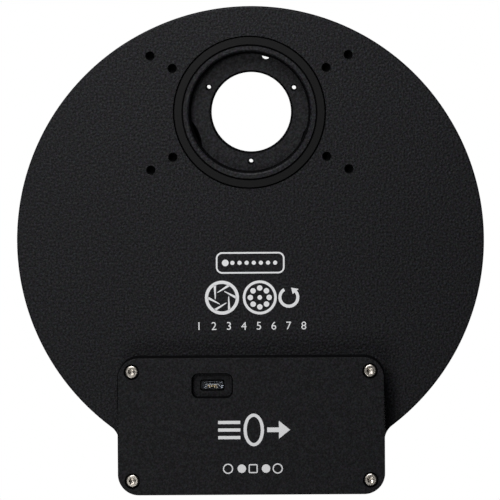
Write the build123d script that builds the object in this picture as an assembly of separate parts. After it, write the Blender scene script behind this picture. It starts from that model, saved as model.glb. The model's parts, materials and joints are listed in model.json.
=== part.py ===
from build123d import *
import math
import os

# Motorised optical filter wheel: a flat round pan with a rear plate, an eight-place
# carousel on a hub axle, a threaded port ring on each side, and a raised box on the
# front of the foot that holds the circuit board and the geared stepper drive.
#
# The pieces are drawn in (u, v, w): u to the right, v up from the disc's centre, w out
# of the front face. place() then stands the part up: X = u, Y = -w, Z = v - port_up, so
# the origin is on the optical axis at the front face and -Y is the way out of the front.

# ---------------------------------------------------------------- driving dimensions (mm)
disc_r = 80.25             # outside of the round housing
port_up = 44.0             # optical axis above the disc's centre, also the pitch radius
body_t = 20.0              # front face to rear face
rear_t = 3.5               # rear plate
front_wall = 4.0
cavity_r = 73.0
edge_chamfer = 0.5

foot_half = 45.75          # half width of the foot and of the raised box
foot_low = -86.6           # the flat that the wheel stands on
foot_corner = 7.2
neck_fillet = 6.5          # concave fillet between disc and foot

box_top = -39.45           # upper edge of the raised box
box_h = 12.0               # its height above the front face
box_wall = 2.0
cover_screw_u = 40.8
cover_screw_v = (-44.3, -81.7)

thread_r = 20.6            # minor radius of the M42 x 0.75 port thread
ring_r = 25.85             # port ring flange
ring_gap = 0.35            # open line round the flange
ring_flange = 1.5
ring_barrel_r = 24.0
ring_len = 4.4
lip_r, lip_t = 19.6, 0.8   # stop lip at the inner end of the rear ring's thread
ring_groove = (22.83, 23.25, 0.7)  # narrow turned groove in the ring's face

bolt_r = 1.25              # tapped M3 holes round the ports
bolt_deep = 3.2
bolt_inner = (26.4, 15.25)
bolt_outer = (34.0, 19.6)

places = 8
park_turn = -0.7           # the wheel is parked this many degrees off its detent
car_front = -5.2
car_rear = -13.2
car_r = 66.4
aperture_r = 13.93         # minor radius of the M28.5 x 0.6 filter thread
aperture_deep = 3.0
stop_r, stop_t = 13.66, 0.4        # stop lip behind the filter thread
pocket_r = 15.65           # seat for a round unmounted filter
retainer_r = 16.9          # the three M2 retainer screws round each pocket
index_r = 63.65
index_hole_r = 1.4
index_lag = -4.4           # degrees from a pocket's axis to its index hole
rim_w = (-9.2, -5.2)       # the toothed part of the rim

rim_m, rim_z, small_z = 0.8, 170, 16
fine_m, large_z, pinion_z = 0.5, 40, 12
pressure = math.radians(20)
idler_uv = (14.0, -73.07)
motor_turn = 16.0          # direction from idler to motor, degrees

bearing = (2.5, 3.3, 4.2, 5.0, 4.0)   # bore, inner shoulder, outer shoulder, outside, width
ball_r, ball_pitch, balls = 0.79, 3.75, 8

board_t, board_w = 1.6, 1.0
usb_uv = (-13.25, -49.1)
usb_recess = (13.8, 8.2, 2.2, 3.3)    # width, height, corner, depth
usb_slot = (8.4, 3.8, 0.8)
sensor_uv = (index_r * math.sin(math.radians(index_lag)),
             -index_r * math.cos(math.radians(index_lag)))

rear_screw_ring = 76.5
rear_screw_r = 1.05
# ----------------------------------------------------------------------------------------

idler_r = math.hypot(*idler_uv)
centre_1 = rim_m * (rim_z + small_z) / 2
assert abs(idler_r - centre_1) < 0.01, (idler_r, centre_1)
centre_2 = fine_m * (large_z + pinion_z) / 2
motor_uv = (idler_uv[0] + centre_2 * math.cos(math.radians(motor_turn)),
            idler_uv[1] + centre_2 * math.sin(math.radians(motor_turn)))
LOW = (Align.CENTER, Align.CENTER, Align.MIN)


def cyl(u, v, r, w0, w1):
    return Pos(u, v, min(w0, w1)) * Cylinder(r, abs(w1 - w0), align=LOW)


def tube(u, v, ri, ro, w0, w1):
    return cyl(u, v, ro, w0, w1) - cyl(u, v, ri, w0, w1)


def cone(u, v, r0, r1, w0, w1):
    """r0 at w0, r1 at w1, with w0 below w1."""
    return Pos(u, v, w0) * Cone(r0, r1, w1 - w0, align=LOW)


def block(u0, u1, v0, v1, w0, w1, r=0.0):
    flat = RectangleRounded(u1 - u0, v1 - v0, r) if r else Rectangle(u1 - u0, v1 - v0)
    return Pos((u0 + u1) / 2, (v0 + v1) / 2, w0) * extrude(flat, w1 - w0)


def spin(u, v, deg):
    a = math.radians(deg)
    return u * math.cos(a) - v * math.sin(a), u * math.sin(a) + v * math.cos(a)


def hexagon(u, v, flats, w0, w1):
    return Pos(u, v, w0) * extrude(RegularPolygon(flats / 2, 6, major_radius=False), w1 - w0)


def place(shape):
    return Pos(0, 0, -port_up) * Rot(90, 0, 0) * shape


def save(name, *solids):
    done = [place(s) for s in solids]
    out = done[0] if len(done) == 1 else Compound(children=done)
    export_step(out, f"parts/{name}.step")


def grouped(name, pieces):
    flat = []
    for p in pieces:
        flat += list(p.solids())
    save(name, *flat)


# The outline shared by the housing and the rear plate.
fc_u = foot_half + neck_fillet
fc_v = -math.sqrt((disc_r + neck_fillet) ** 2 - fc_u ** 2)
k = disc_r / (disc_r + neck_fillet)
tan_u, tan_v = fc_u * k, fc_v * k
mid = math.atan2(tan_v - fc_v, fc_u - tan_u) / 2
q = foot_corner * (1 - math.sqrt(0.5))


def outline():
    right = [
        ThreePointArc((tan_u, tan_v), (fc_u - neck_fillet * math.cos(mid), fc_v + neck_fillet * math.sin(mid)), (foot_half, fc_v)),
        Line((foot_half, fc_v), (foot_half, foot_low + foot_corner)),
        ThreePointArc((foot_half, foot_low + foot_corner), (foot_half - q, foot_low + q), (foot_half - foot_corner, foot_low)),
    ]
    base = Line((foot_half - foot_corner, foot_low), (-foot_half + foot_corner, foot_low))
    left = [
        ThreePointArc((-foot_half + foot_corner, foot_low), (-foot_half + q, foot_low + q), (-foot_half, foot_low + foot_corner)),
        Line((-foot_half, foot_low + foot_corner), (-foot_half, fc_v)),
        ThreePointArc((-foot_half, fc_v), (-fc_u + neck_fillet * math.cos(mid), fc_v + neck_fillet * math.sin(mid)), (-tan_u, tan_v)),
    ]
    round_part = ThreePointArc((-tan_u, tan_v), (0, disc_r), (tan_u, tan_v))
    return make_face(Curve() + right + [base] + left + [round_part])


def rect4(pair, up=port_up):
    return [(s * pair[0], up + t * pair[1]) for s in (-1, 1) for t in (-1, 1)]


bolts = rect4(bolt_inner) + rect4(bolt_outer)
cover_screws = [(s * cover_screw_u, v) for s in (-1, 1) for v in cover_screw_v]
rear_screws = [(rear_screw_ring * math.cos(math.radians(a)), rear_screw_ring * math.sin(math.radians(a)))
               for a in (90, 54, 18, -18, 126, 162, 198, -45, 225)]
rear_screws += [(-40.5, -81.4), (40.5, -81.4), (-12.0, -82.2)]
board_screws = [(-34.0, -79.5), (-34.0, -50.6), (34.8, -51.3), (-4.2, -79.5)]
plate_screws = [(2.6, -60.0), (34.6, -60.0), (4.0, -81.6), (28.0, -81.9)]
ears = [(motor_uv[0] + 13 * math.cos(math.radians(a)), motor_uv[1] + 13 * math.sin(math.radians(a))) for a in (130, -50)]

# ---------------------------------------------------------------- housing, covers, rings
shell = Pos(0, 0, -body_t + rear_t) * extrude(outline(), body_t - rear_t)
shell = chamfer(shell.faces().sort_by(Axis.Z)[-1].edges(), edge_chamfer)
shell -= cyl(0, 0, cavity_r, -body_t + rear_t, -front_wall)
shell -= cyl(*idler_uv, 8.4, -body_t + rear_t, -front_wall)
shell += cyl(0, 0, 8.0, -front_wall - 0.6, -front_wall)
shell -= cyl(0, 0, bearing[0], -front_wall - 0.6, -1.2)
shell -= cyl(0, port_up, ring_barrel_r + 0.05, -front_wall, 0)
shell -= cyl(0, port_up, ring_r + ring_gap, -ring_flange, 0)
shell -= cyl(*idler_uv, 11.3, -front_wall, 0) + cyl(*motor_uv, 4.6, -front_wall, 0)
shell -= block(sensor_uv[0] - 3.2, sensor_uv[0] + 3.2, sensor_uv[1] - 2.6, sensor_uv[1] + 2.6, -front_wall, 0, 0.6)
for u, v in bolts:
    shell -= cyl(u, v, bolt_r, -bolt_deep, 0) + cone(u, v, bolt_r, bolt_r + 0.35, -0.3, 0)
for u, v in cover_screws:
    shell -= cyl(u, v, 1.25, -3.4, 0)
for u, v in board_screws:
    shell += cyl(u, v, 2.4, 0, board_w)
    shell -= cyl(u, v, 1.0, -2.4, board_w)
for u, v in plate_screws:
    shell -= cyl(u, v, 1.0, -2.4, 0)
for u, v in rear_screws:
    shell -= cyl(u, v, rear_screw_r, -body_t + rear_t, -10.5)
save("front_housing", shell)

plate = Pos(0, 0, -body_t) * extrude(outline(), rear_t)
plate = chamfer(plate.faces().sort_by(Axis.Z)[0].edges(), edge_chamfer)
plate += tube(0, 0, 71.0, cavity_r - 0.1, -body_t + rear_t, -body_t + rear_t + 0.8)
plate -= cyl(0, port_up, ring_barrel_r + 0.05, -body_t, -body_t + rear_t)
plate -= cyl(0, port_up, ring_r + ring_gap, -body_t, -body_t + ring_flange)
for u, v in bolts:
    plate -= cyl(u, v, bolt_r, -body_t, -body_t + 2.8) + cone(u, v, bolt_r + 0.3, bolt_r, -body_t, -body_t + 0.3)
for u, v in rear_screws:
    plate -= cyl(u, v, 1.35, -body_t, -body_t + rear_t) + cone(u, v, 2.55, 1.35, -body_t, -body_t + 1.2)
save("rear_cover", plate)


def port_ring():
    """Face at w = 0, threaded barrel behind it."""
    gi, go, gd = ring_groove
    ring = tube(0, port_up, thread_r, ring_r, -ring_flange, 0)
    ring += tube(0, port_up, thread_r, ring_barrel_r, -ring_len, -ring_flange)
    return ring - tube(0, port_up, gi, go, -gd, 0)


save("front_port_ring", port_ring())
rear_ring = port_ring() + tube(0, port_up, lip_r, ring_barrel_r, -ring_len, -ring_len + lip_t)
save("rear_port_ring", Pos(0, 2 * port_up, -body_t) * Rot(180, 0, 0) * rear_ring)

cover = block(-foot_half, foot_half, foot_low, box_top, 0, box_h, foot_corner)
cover = chamfer(cover.faces().sort_by(Axis.Z)[-1].edges(), edge_chamfer)
cover -= block(-foot_half + box_wall, foot_half - box_wall, foot_low + box_wall, box_top - box_wall,
               0, box_h - box_wall, foot_corner - box_wall)
for u, v in cover_screws:
    cover += cyl(u, v, 3.7, 0, box_h - box_wall)
rw, rh, rc, rd = usb_recess
cover += block(usb_uv[0] - rw / 2 - 1.5, usb_uv[0] + rw / 2 + 1.5, usb_uv[1] - rh / 2 - 1.5, usb_uv[1] + rh / 2 + 1.5,
               box_h - rd - 1.1, box_h - box_wall, 3.0)
for u, v in cover_screws:
    cover -= cyl(u, v, 1.4, 0, box_h) + cyl(u, v, 2.7, box_h - 2.6, box_h)
cover -= block(usb_uv[0] - rw / 2, usb_uv[0] + rw / 2, usb_uv[1] - rh / 2, usb_uv[1] + rh / 2, box_h - rd, box_h, rc)
cover -= block(usb_uv[0] - usb_slot[0] / 2, usb_uv[0] + usb_slot[0] / 2, usb_uv[1] - usb_slot[1] / 2,
               usb_uv[1] + usb_slot[1] / 2, box_h - rd - 1.1, box_h - rd, usb_slot[2])
save("electronics_cover", cover)

# Socket-head screws of the raised box, M2.5 x 12.
screws = []
for u, v in cover_screws:
    seat = box_h - 2.6
    s = cyl(u, v, 2.1, seat, seat + 2.5) + cyl(u, v, 1.22, seat - 12.0, seat)
    s = chamfer(s.faces().sort_by(Axis.Z)[-1].edges(), 0.25)
    screws.append(s - hexagon(u, v, 2.0, seat + 1.1, seat + 2.5))
grouped("cover_screws", screws)

# Countersunk screws of the rear plate, M2.5 x 8, with hex sockets.
screws = []
for u, v in rear_screws:
    s = cone(u, v, 2.5, 1.3, -body_t + 0.05, -body_t + 1.25) + cyl(u, v, 1.02, -body_t + 1.2, -body_t + 8.0)
    screws.append(s - hexagon(u, v, 1.5, -body_t, -body_t + 0.95))
grouped("rear_cover_screws", screws)

# ---------------------------------------------------------------- hub
bi, bs, bo, bx, bw = bearing
gap = 0.6
b1, b2 = car_front, car_front - bw - gap           # front faces of the two bearings
hub_rear = b2 - bw
axle = cyl(0, 0, bi, hub_rear + 0.1, -1.3) + cyl(0, 0, bs, b1, -front_wall - 0.6)
axle -= cyl(0, 0, 1.25, hub_rear + 0.1, hub_rear + 7.0)
save("hub_axle", axle)
race = [Pos(0, 0, b - bw / 2) * Torus(ball_pitch, ball_r + 0.02) for b in (b1, b2)]
grouped("bearing_inner_rings", [tube(0, 0, bi, bs, b - bw, b) - race[i] for i, b in enumerate((b1, b2))])
grouped("bearing_outer_rings", [tube(0, 0, bo, bx, b - bw, b) - race[i] for i, b in enumerate((b1, b2))])
grouped("bearing_balls", [Pos(ball_pitch * math.cos(2 * math.pi * n / balls), ball_pitch * math.sin(2 * math.pi * n / balls), b - bw / 2)
                          * Sphere(ball_r) for b in (b1, b2) for n in range(balls)])
save("bearing_spacer", tube(0, 0, bi + 0.02, bs, b2, b1 - bw))
save("hub_washer", tube(0, 0, 1.5, 3.9, hub_rear - 0.5, hub_rear))
head = cyl(0, 0, 2.75, hub_rear - 2.1, hub_rear - 0.5) + cyl(0, 0, 1.2, hub_rear - 0.5, hub_rear + 6.0)
save("hub_screw", head - hexagon(0, 0, 2.0, hub_rear - 2.1, hub_rear - 1.1))


# ---------------------------------------------------------------- gears
def inv(a):
    return math.tan(a) - a


def gear_face(module, teeth, phase_deg, add, ded, slack, radii=None, bore=0.0):
    """Involute outline as straight runs, with a tooth centred on phase_deg."""
    rp = module * teeth / 2
    rb = rp * math.cos(pressure)
    ra, rf = rp + add * module, rp - ded * module
    half = (math.pi * module / 2 - slack) / (2 * rp)
    low = max(rf, rb)
    steps = radii or [low + (ra - low) * n / 3 for n in range(4)]
    if rf < rb:
        steps = [rf] + steps
    flank = []
    for r in steps:
        if r >= rb:
            flank.append((r, half + inv(pressure) - inv(math.acos(min(1.0, rb / r)))))
        else:
            flank.append((r, (half + inv(pressure)) * 0.86))
    pts = []
    for n in range(teeth):
        c = math.radians(phase_deg) + 2 * math.pi * n / teeth
        pts += [(r * math.cos(c - h), r * math.sin(c - h)) for r, h in flank]
        pts += [(r * math.cos(c + h), r * math.sin(c + h)) for r, h in reversed(flank)]
    face = make_face(Polyline(*pts, close=True))
    return face - Circle(bore) if bore else face


to_idler = math.degrees(math.atan2(idler_uv[1], idler_uv[0]))
rim_face = gear_face(rim_m, rim_z, to_idler, 0.9, 1.2, 0.10, radii=[rim_m * rim_z / 2 + x * rim_m for x in (-1.2, 0.0, 0.9)])

carousel = cyl(0, 0, car_r, car_rear, car_front)
carousel += Pos(0, 0, rim_w[0]) * extrude(rim_face, rim_w[1] - rim_w[0])
carousel += cyl(0, 0, 11.0, hub_rear, car_rear)
carousel -= tube(0, 0, 13.0, 25.0, car_rear, car_front - aperture_deep)
carousel -= cyl(0, 0, bx, b1 - bw, b1) + cyl(0, 0, bx, b2 - bw, b2) + cyl(0, 0, bo + 0.1, hub_rear, car_front)
for n in range(places):
    turn = park_turn + 360 / places * n
    u, v = spin(0, port_up, turn)
    carousel -= cyl(u, v, stop_r, car_rear, car_front) + cyl(u, v, aperture_r, car_front - aperture_deep + stop_t, car_front)
    carousel -= cyl(u, v, pocket_r, car_rear, car_front - aperture_deep)
    for a in (30, 150, 270):
        x, y = retainer_r * math.cos(math.radians(a)), port_up + retainer_r * math.sin(math.radians(a))
        carousel -= cyl(*spin(x, y, turn), 0.8, car_rear, car_front)
    carousel -= cyl(*spin(0, index_r, turn + index_lag), index_hole_r, car_rear, car_front)
carousel -= cyl(*spin(0, index_r, park_turn + 180 + 6.6), 0.9, car_rear, car_front)     # home mark
save("filter_carousel", carousel)

small_face = gear_face(rim_m, small_z, to_idler + 180 + 180 / small_z, 0.9, 1.2, 0.10)
to_motor = motor_turn
large_face = gear_face(fine_m, large_z, to_motor, 0.8, 1.2, 0.06)
idler = Pos(*idler_uv, -9.8) * extrude(small_face, 4.9)
idler += cyl(*idler_uv, 5.0, -4.9, -3.4)
idler += Pos(*idler_uv, -3.4) * extrude(large_face, 2.4)
idler -= cyl(*idler_uv, 1.54, -9.8, -1.0)
save("idler_gear", idler)

shaft = cyl(*idler_uv, 1.5, -11.0, 1.5) + cyl(*idler_uv, 2.3, 1.5, 2.1)
shaft -= tube(*idler_uv, 1.15, 1.6, -10.6, -10.0)
save("idler_shaft", shaft)
clip = tube(*idler_uv, 1.17, 2.9, -10.55, -10.05) - block(idler_uv[0] - 0.95, idler_uv[0] + 0.95, idler_uv[1] - 3.2, idler_uv[1], -10.6, -10.0)
save("idler_clip", clip)

# ---------------------------------------------------------------- stepper motor
mu, mv = motor_uv
pinion_face = gear_face(fine_m, pinion_z, to_motor + 180 + 180 / pinion_z, 0.8, 1.2, 0.06, bore=0.99)
save("motor_pinion", Pos(mu, mv, -3.6) * extrude(pinion_face, 3.0))
save("motor_shaft", cyl(mu, mv, 0.99, -3.8, 9.0))
save("motor_rotor", tube(mu, mv, 0.99, 4.0, 3.2, 8.2))
can = cyl(mu, mv, 10.0, 2.3, 9.7)
can = chamfer(can.faces().sort_by(Axis.Z)[-1].edges(), 0.6)
can -= cyl(mu, mv, 9.4, 2.3, 9.1)
save("motor_can", can)
flange = cyl(mu, mv, 10.0, 1.5, 2.3)
for u, v in ears:
    arm = Pos((u + mu) / 2, (v + mv) / 2, 1.5) * Rot(0, 0, math.degrees(math.atan2(v - mv, u - mu))) * extrude(Rectangle(13.0, 5.0), 0.8)
    flange += arm + cyl(u, v, 2.5, 1.5, 2.3)
for u, v in ears:
    flange -= cyl(u, v, 1.1, 1.5, 2.3)
flange += cyl(mu, mv, 2.4, 0.2, 1.5) + cyl(mu, mv, 2.4, 2.3, 3.0)
flange -= cyl(mu, mv, 1.04, 0.2, 3.0)
save("motor_flange", flange)
save("motor_stator", tube(mu, mv, 4.4, 9.35, 3.2, 8.8))
mount_plate = block(0.2, 36.7, -84.0, -57.0, 0, 1.5, 2.0)
mount_plate -= cyl(mu, mv, 2.45, 0, 1.5) + cyl(*idler_uv, 1.5, 0, 1.5)
for u, v in plate_screws:
    mount_plate -= cyl(u, v, 1.1, 0, 1.5)
for u, v in ears:
    mount_plate -= cyl(u, v, 0.97, 0, 1.5)
save("motor_plate", mount_plate)


def pan_screw(u, v, seat, shank_r, length, head_r=1.85, head_h=1.4):
    s = cyl(u, v, head_r, seat, seat + head_h) + cyl(u, v, shank_r, seat - length, seat)
    s = chamfer(s.faces().sort_by(Axis.Z)[-1].edges(), 0.3)
    return s - hexagon(u, v, 1.3, seat + 0.6, seat + head_h)


grouped("motor_plate_screws", [pan_screw(u, v, 1.5, 0.97, 3.7) for u, v in plate_screws])
grouped("motor_screws", [pan_screw(u, v, 2.3, 0.95, 2.2) for u, v in ears])
terminal = block(mu - 4.0, mu + 4.0, mv + 9.0, mv + 12.2, 2.5, 6.4, 0.4) - cyl(mu, mv, 10.0, 2.3, 9.7)
save("motor_terminal", terminal)

# ---------------------------------------------------------------- electronics
top = board_w + board_t
board = block(-36.7, -0.8, -82.5, -47.0, board_w, top, 1.5) + block(-36.7, 37.4, -55.6, -47.0, board_w, top, 1.5)
for u, v in board_screws:
    board -= cyl(u, v, 1.1, board_w, top)
save("circuit_board", board)
grouped("board_screws", [pan_screw(u, v, top, 0.95, 4.8) for u, v in board_screws])

uu, uv = usb_uv
sock = block(uu - 3.9, uu + 3.9, uv - 1.5, uv + 1.5, top, 8.4, 0.7)
sock -= block(uu - 3.55, uu + 3.55, uv - 1.15, uv + 1.15, top + 0.6, 8.4, 0.4)
save("usb_shell", sock)
tongue = block(uu - 2.6, uu + 2.6, uv - 0.1, uv + 0.55, top + 0.6, 7.9, 0.1)
save("usb_tongue", tongue)
grouped("usb_contacts", [block(uu + 0.65 * n - 0.17, uu + 0.65 * n + 0.17, uv - 0.22, uv - 0.1, top + 0.8, 7.6) for n in (-2, -1, 0, 1, 2)])

chip = block(-27.6, -20.6, -69.6, -62.6, top, top + 1.0, 0.3)
save("controller_chip", chip)
save("driver_chip", block(-13.2, -8.2, -73.6, -67.2, top, top + 1.2, 0.2))
save("clock_crystal", block(-26.6, -21.6, -76.2, -73.0, top, top + 1.1, 0.5))
caps = [block(u - 1.0, u + 1.0, v - 0.6, v + 0.6, top, top + 0.9) for u, v in
        ((-30.5, -60.0), (-27.5, -60.0), (-30.5, -63.5), (-17.6, -63.0), (-17.6, -66.0), (-17.6, -69.0), (-5.0, -68.8), (-5.0, -72.0), (-20.5, -53.2), (-7.2, -53.2))]
grouped("board_capacitors", caps)
save("power_capacitor", chamfer(cyl(14.0, -51.3, 2.9, top, top + 5.4).faces().sort_by(Axis.Z)[-1].edges(), 0.4))
save("motor_header", block(mu - 4.2, mu + 4.2, -53.6, -49.4, top, top + 4.2) - block(mu - 3.4, mu + 3.4, -52.8, -50.2, top + 2.6, top + 4.2))
sens = block(sensor_uv[0] - 2.4, sensor_uv[0] + 2.4, sensor_uv[1] - 1.8, sensor_uv[1] + 1.8, -1.6, board_w, 0.3)
save("index_sensor", sens)

# Flat four-way lead from the motor's terminal block to the header, one bend.
v0, v1, wl = mv + 12.2, -53.6, 4.9
lead_face = make_face(Curve() + [
    ThreePointArc((v0, wl), ((v0 + v1) / 2, wl + 1.5), (v1, wl)),
    Line((v1, wl), (v1, wl + 0.8)),
    ThreePointArc((v1, wl + 0.8), ((v0 + v1) / 2, wl + 2.3), (v0, wl + 0.8)),
    Line((v0, wl + 0.8), (v0, wl)),
])
lead = Plane(origin=(mu - 3.0, 0, 0), x_dir=(0, 1, 0), z_dir=(1, 0, 0)).location * extrude(lead_face, 6.0)
save("motor_lead", lead)
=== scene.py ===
import json
import math
import random

import bmesh
import bpy
from mathutils import Matrix, Quaternion, Vector

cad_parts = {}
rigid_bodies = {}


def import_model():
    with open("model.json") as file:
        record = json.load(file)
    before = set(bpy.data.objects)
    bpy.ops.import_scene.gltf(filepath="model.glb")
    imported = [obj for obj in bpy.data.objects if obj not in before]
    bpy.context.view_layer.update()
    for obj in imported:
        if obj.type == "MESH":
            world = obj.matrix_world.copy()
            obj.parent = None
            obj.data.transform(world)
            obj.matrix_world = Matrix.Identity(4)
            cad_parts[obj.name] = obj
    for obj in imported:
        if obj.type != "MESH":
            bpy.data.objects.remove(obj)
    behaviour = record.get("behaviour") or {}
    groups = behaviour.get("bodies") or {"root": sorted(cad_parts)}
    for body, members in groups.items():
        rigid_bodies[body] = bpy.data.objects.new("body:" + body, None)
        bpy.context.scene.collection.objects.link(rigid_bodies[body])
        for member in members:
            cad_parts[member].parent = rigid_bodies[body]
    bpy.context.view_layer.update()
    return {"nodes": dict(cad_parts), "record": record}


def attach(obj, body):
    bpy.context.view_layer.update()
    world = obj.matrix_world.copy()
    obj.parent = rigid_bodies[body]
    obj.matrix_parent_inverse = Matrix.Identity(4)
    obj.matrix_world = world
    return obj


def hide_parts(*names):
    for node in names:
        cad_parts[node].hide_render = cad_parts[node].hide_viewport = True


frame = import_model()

random.seed(7)

# Pieces are drawn in millimetres in (u, v, w): u right and v up from the disc's centre, w out of the front face.
PORT_UP = 44.0
TO_ROW = Matrix(((0.001, 0, 0, 0), (0, 0, -0.001, 0), (0, 0.001, 0, -PORT_UP * 0.001), (0, 0, 0, 1)))

DISC_R, BODY_T, REAR_T, FRONT_WALL, CAVITY_R = 80.25, 20.0, 3.5, 4.0, 73.0
FOOT_HALF, FOOT_LOW, FOOT_CORNER, NECK = 45.75, -86.6, 7.2, 6.5
BOX_TOP, BOX_H, BOX_WALL = -39.45, 12.0, 2.0
COVER_SCREWS = [(s * 40.8, v) for s in (-1, 1) for v in (-44.3, -81.7)]
THREAD_R, RING_R, RING_GAP, RING_FLANGE, BARREL_R, RING_LEN, LIP_R = 20.6, 25.85, 0.35, 1.5, 24.0, 4.4, 19.6
BOLTS = [(s * a, PORT_UP + t * b) for a, b in ((26.4, 15.25), (34.0, 19.6)) for s in (-1, 1) for t in (-1, 1)]
PARK = -0.7
CAR_FRONT, CAR_REAR, CAR_R, HUB_REAR = -5.2, -13.2, 66.4, -13.8
APERTURE_R, STOP_R, POCKET_R, RETAINER_R, INDEX_R, INDEX_LAG = 13.93, 13.66, 15.65, 16.9, 63.65, -4.4
IDLER = (14.0, -73.07)
MOTOR = (14.0 + 13.0 * math.cos(math.radians(16)), -73.07 + 13.0 * math.sin(math.radians(16)))
USB = (-13.25, -49.1)
SENSOR = (INDEX_R * math.sin(math.radians(INDEX_LAG)), -INDEX_R * math.cos(math.radians(INDEX_LAG)))
REAR_SCREWS = [(76.5 * math.cos(math.radians(a)), 76.5 * math.sin(math.radians(a))) for a in (90, 54, 18, -18, 126, 162, 198, -45, 225)]
REAR_SCREWS += [(-40.5, -81.4), (40.5, -81.4), (-12.0, -82.2)]
BOARD_SCREWS = [(-34.0, -79.5), (-34.0, -50.6), (34.8, -51.3), (-4.2, -79.5)]
PLATE_SCREWS = [(2.6, -60.0), (34.6, -60.0), (4.0, -81.6), (28.0, -81.9)]


# ------------------------------------------------------------------ mesh helpers (local mm)
def new_object(name, verts, faces):
    me = bpy.data.meshes.new(name)
    me.from_pydata([tuple(v) for v in verts], [], faces)
    bm = bmesh.new()
    bm.from_mesh(me)
    bmesh.ops.recalc_face_normals(bm, faces=bm.faces)
    bm.to_mesh(me)
    bm.free()
    ob = bpy.data.objects.new(name, me)
    bpy.context.scene.collection.objects.link(ob)
    return ob


def loft(name, rings):
    """Rings of equal length, capped at both ends."""
    n = len(rings[0])
    verts = [p for ring in rings for p in ring]
    faces = []
    for k in range(len(rings) - 1):
        a, b = k * n, (k + 1) * n
        faces += [(a + i, a + (i + 1) % n, b + (i + 1) % n, b + i) for i in range(n)]
    faces.append(tuple(range(n)))
    faces.append(tuple((len(rings) - 1) * n + i for i in range(n)))
    return new_object(name, verts, faces)


def screw_wave(t):
    """A thread's depth, 0 at the crest to 1 at the root, over one pitch."""
    t = t % 1.0
    return min(1.0, max(0.0, (0.5 - abs(t - 0.5)) * 2.7 - 0.28))


def lathe(name, profile, n=96, at=(0.0, 0.0), closed=False, thread=None):
    """profile: (r, w) points, turned about the w axis at the given place. closed joins its ends into a ring; otherwise
    both ends are capped. thread: (w_low, w_high, pitch, depth, r) cuts a helix into the profile's points at that radius."""
    verts = []
    for r, w in profile:
        for i in range(n):
            a = 2 * math.pi * i / n
            q = r
            if thread and abs(r - thread[4]) < 1e-6 and thread[0] <= w <= thread[1]:
                fade = min(1.0, (w - thread[0]) / (0.4 * thread[2]), (thread[1] - w) / (0.4 * thread[2]))
                q = r + thread[3] * fade * screw_wave(w / thread[2] - i / n)
            verts.append((at[0] + q * math.cos(a), at[1] + q * math.sin(a), w))
    faces = []
    m = len(profile)
    for k in range(m if closed else m - 1):
        a, b = k * n, ((k + 1) % m) * n
        faces += [(a + i, a + (i + 1) % n, b + (i + 1) % n, b + i) for i in range(n)]
    if not closed:
        faces.append(tuple(range(n)))
        faces.append(tuple((m - 1) * n + i for i in range(n)))
    return new_object(name, verts, faces)


def thread_rows(r, w0, w1, pitch, per=8):
    steps = max(2, int(round(abs(w1 - w0) / pitch * per)))
    return [(r, w0 + (w1 - w0) * k / steps) for k in range(steps + 1)]


def rounded(u0, u1, v0, v1, r, per=10, grow=0.0):
    """Rounded rectangle as points, counter-clockwise, grown outward."""
    r2 = max(r + grow, 0.02)
    pts = []
    for cu, cv, a0 in ((u1 - r, v1 - r, 0), (u0 + r, v1 - r, 90), (u0 + r, v0 + r, 180), (u1 - r, v0 + r, 270)):
        for k in range(per + 1):
            a = math.radians(a0 + 90 * k / per)
            pts.append((cu + r2 * math.cos(a), cv + r2 * math.sin(a)))
    return pts


def prism(name, pts, w0, w1):
    return loft(name, [[(u, v, w0) for u, v in pts], [(u, v, w1) for u, v in pts]])


def rounded_prism(name, u0, u1, v0, v1, r, w0, w1, per=10):
    return prism(name, rounded(u0, u1, v0, v1, r, per), w0, w1)


def body_outline(inset, n_big=360):
    fu = FOOT_HALF + NECK
    fv = -math.sqrt((DISC_R + NECK) ** 2 - fu ** 2)
    at = math.atan2(fv, fu)
    pts = []
    for k in range(n_big):
        a = at + (math.pi - 2 * at) * k / n_big
        pts.append(((DISC_R - inset) * math.cos(a), (DISC_R - inset) * math.sin(a)))
    for k in range(13):
        a = -at * (1 - k / 12)
        pts.append((-fu + (NECK + inset) * math.cos(a), fv + (NECK + inset) * math.sin(a)))
    rc = FOOT_CORNER - inset
    for cu, a0 in ((-FOOT_HALF + FOOT_CORNER, 180), (FOOT_HALF - FOOT_CORNER, 270)):
        for k in range(17):
            a = math.radians(a0 + 90 * k / 16)
            pts.append((cu + rc * math.cos(a), FOOT_LOW + FOOT_CORNER + rc * math.sin(a)))
    for k in range(13):
        a = math.pi + at * k / 12
        pts.append((fu + (NECK + inset) * math.cos(a), fv + (NECK + inset) * math.sin(a)))
    pts.pop()
    return pts


def edge_round(w, r, way, n=4):
    """(inset, w) steps from the side wall round to the face at w. way is +1 for a face that looks along +w."""
    return [(r * (1 - math.cos(math.pi / 2 * k / n)), w - way * (r - r * math.sin(math.pi / 2 * k / n))) for k in range(n + 1)]


def cut(ob, cutters, op="DIFFERENCE"):
    group = bpy.data.collections.new("cutters")
    bpy.context.scene.collection.children.link(group)
    for c in cutters:
        for held in list(c.users_collection):
            held.objects.unlink(c)
        group.objects.link(c)
    mod = ob.modifiers.new("cut", "BOOLEAN")
    mod.operation, mod.solver, mod.operand_type, mod.collection = op, "EXACT", "COLLECTION", group
    bpy.context.view_layer.update()
    done = bpy.data.meshes.new_from_object(ob.evaluated_get(bpy.context.evaluated_depsgraph_get()))
    ob.modifiers.clear()
    old, ob.data = ob.data, done
    bpy.data.meshes.remove(old)
    for c in list(group.objects):
        data = c.data
        bpy.data.objects.remove(c)
        bpy.data.meshes.remove(data)
    bpy.data.collections.remove(group)
    return ob


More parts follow.
